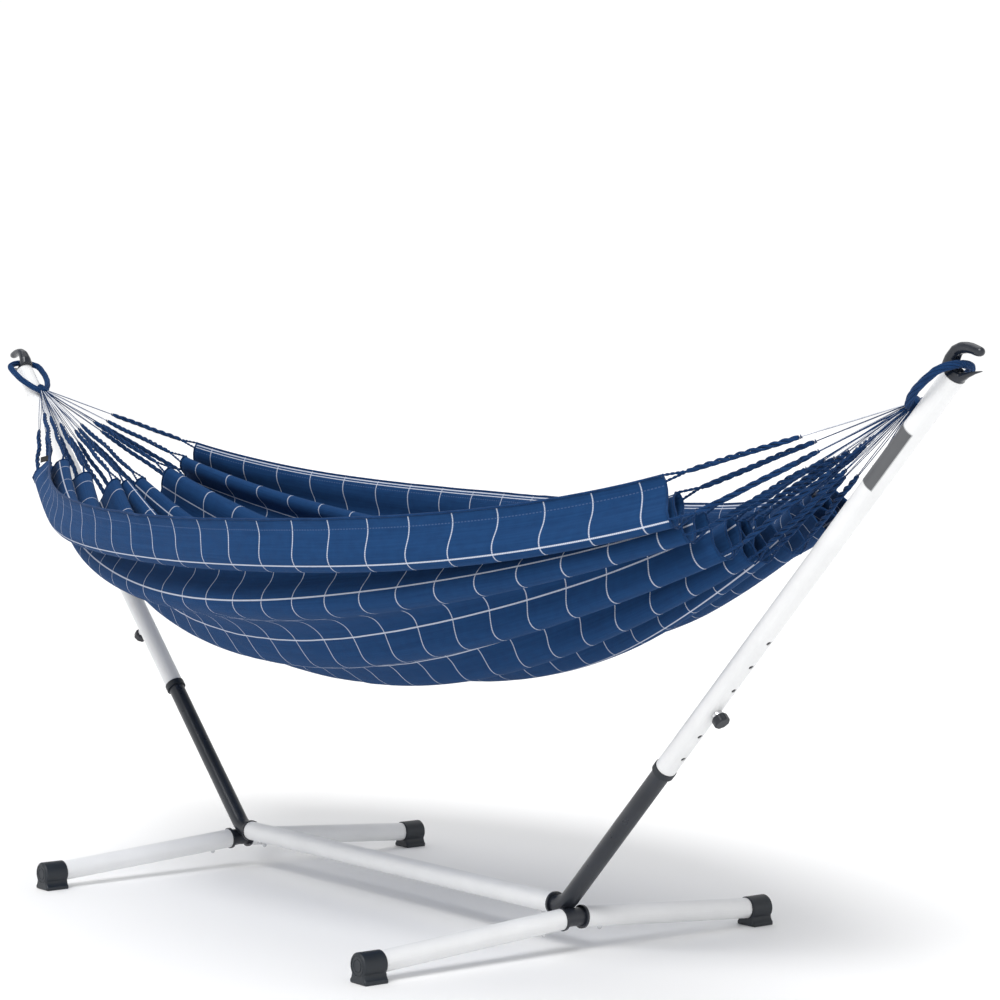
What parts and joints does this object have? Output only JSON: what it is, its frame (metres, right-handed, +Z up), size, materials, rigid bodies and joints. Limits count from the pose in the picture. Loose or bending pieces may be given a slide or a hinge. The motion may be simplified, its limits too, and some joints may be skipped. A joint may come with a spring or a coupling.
{
  "type": "hammock on stand",
  "caption": "Woven fabric hammock hung by cord fans and rings from the hooks of a telescoping tubular steel stand with a base beam and splayed feet.",
  "frame": {"origin": "on the floor, under the middle of the base tube", "axes": "+X along the hammock and base tube, +Y along the feet, +Z up"},
  "size_m": [3.268, 1.0894, 1.1349],
  "materials": {
    "white_paint": "satin white powder coat",
    "dark_paint": "anthracite powder coat",
    "cap_plastic": "moulded dark grey plastic",
    "hook_metal": "dark painted casting",
    "knob_plastic": "moulded dark grey plastic",
    "steel": "bright zinc plated",
    "fabric": "navy woven cotton with a pale windowpane check",
    "cord": "navy twisted cord"
  },
  "bodies": {
    "root": {"base_tube": "white_paint", "lower_arm_left": "dark_paint", "base_flange_left": "dark_paint", "cross_tube_left": "dark_paint", "foot_tube_front_left": "white_paint", "foot_tube_back_left": "white_paint", "foot_flange_front_left": "dark_paint", "foot_flange_back_left": "dark_paint", "foot_cap_front_left": "cap_plastic", "foot_cap_back_left": "cap_plastic", "lower_arm_right": "dark_paint", "base_flange_right": "dark_paint", "cross_tube_right": "dark_paint", "foot_tube_front_right": "white_paint", "foot_tube_back_right": "white_paint", "foot_flange_front_right": "dark_paint", "foot_flange_back_right": "dark_paint", "foot_cap_front_right": "cap_plastic", "foot_cap_back_right": "cap_plastic"},
    "upper_arm_left": {"upper_tube_left": "white_paint", "guide_collar_left": "cap_plastic", "hook_left": "hook_metal"},
    "upper_arm_right": {"upper_tube_right": "white_paint", "guide_collar_right": "cap_plastic", "hook_right": "hook_metal"},
    "hammock_left": {"hammock_fabric": "fabric", "end_ring_left": "cord", "cord_fan_left": "cord"},
    "hammock_right": {"end_ring_right": "cord", "cord_fan_right": "cord"},
    "knob_left": {"knob_head_left": "knob_plastic", "knob_stud_left": "steel"},
    "knob_right": {"knob_head_right": "knob_plastic", "knob_stud_right": "steel"},
    "button_base_left": {"snap_button_base_left": "steel"},
    "button_front_left": {"snap_button_front_left": "steel"},
    "button_back_left": {"snap_button_back_left": "steel"},
    "button_base_right": {"snap_button_base_right": "steel"},
    "button_front_right": {"snap_button_front_right": "steel"},
    "button_back_right": {"snap_button_back_right": "steel"}
  },
  "joints": [
    {"name": "arm_left_slide", "type": "slide", "parent": "root", "child": "upper_arm_left", "axis": [-0.7088, 0, 0.7054], "range_m": [-0.0634, 0.1268]},
    {"name": "arm_right_slide", "type": "slide", "parent": "root", "child": "upper_arm_right", "axis": [0.7088, 0, 0.7054], "range_m": [-0.0634, 0.1268]},
    {"name": "hammock_swing", "type": "hinge", "parent": "upper_arm_left", "child": "hammock_left", "pos_m": [-1.58506, 0, 1.09913], "axis": [1, 0, 0], "range_deg": [-10, 10]},
    {"name": "hammock_reach", "type": "slide", "parent": "hammock_left", "child": "hammock_right", "axis": [1, 0, 0], "range_m": [-0.0899, 0.1798]},
    {"name": "knob_left_turn", "type": "hinge", "parent": "upper_arm_left", "child": "knob_left", "pos_m": [-1.0067, 0, 0.47891], "axis": [-0.7054, 0, -0.7088], "continuous": true},
    {"name": "knob_right_turn", "type": "hinge", "parent": "upper_arm_right", "child": "knob_right", "pos_m": [1.0067, 0, 0.47891], "axis": [0.7054, 0, -0.7088], "continuous": true},
    {"name": "button_base_left_press", "type": "slide", "parent": "root", "child": "button_base_left", "axis": [0, 0, 1], "range_m": [0, 0.006], "stiffness_N_per_m": 400},
    {"name": "button_front_left_press", "type": "slide", "parent": "root", "child": "button_front_left", "axis": [0, -0.0715, 0.9974], "range_m": [0, 0.006], "stiffness_N_per_m": 400},
    {"name": "button_back_left_press", "type": "slide", "parent": "root", "child": "button_back_left", "axis": [0, 0.0715, 0.9974], "range_m": [0, 0.006], "stiffness_N_per_m": 400},
    {"name": "button_base_right_press", "type": "slide", "parent": "root", "child": "button_base_right", "axis": [0, 0, 1], "range_m": [0, 0.006], "stiffness_N_per_m": 400},
    {"name": "button_front_right_press", "type": "slide", "parent": "root", "child": "button_front_right", "axis": [0, -0.0715, 0.9974], "range_m": [0, 0.006], "stiffness_N_per_m": 400},
    {"name": "button_back_right_press", "type": "slide", "parent": "root", "child": "button_back_right", "axis": [0, 0.0715, 0.9974], "range_m": [0, 0.006], "stiffness_N_per_m": 400}
  ],
  "couplings": [
    {"joint": "arm_right_slide", "follows": "arm_left_slide", "ratio": 1},
    {"joint": "hammock_reach", "follows": "arm_left_slide", "ratio": 1.4177}
  ]
}
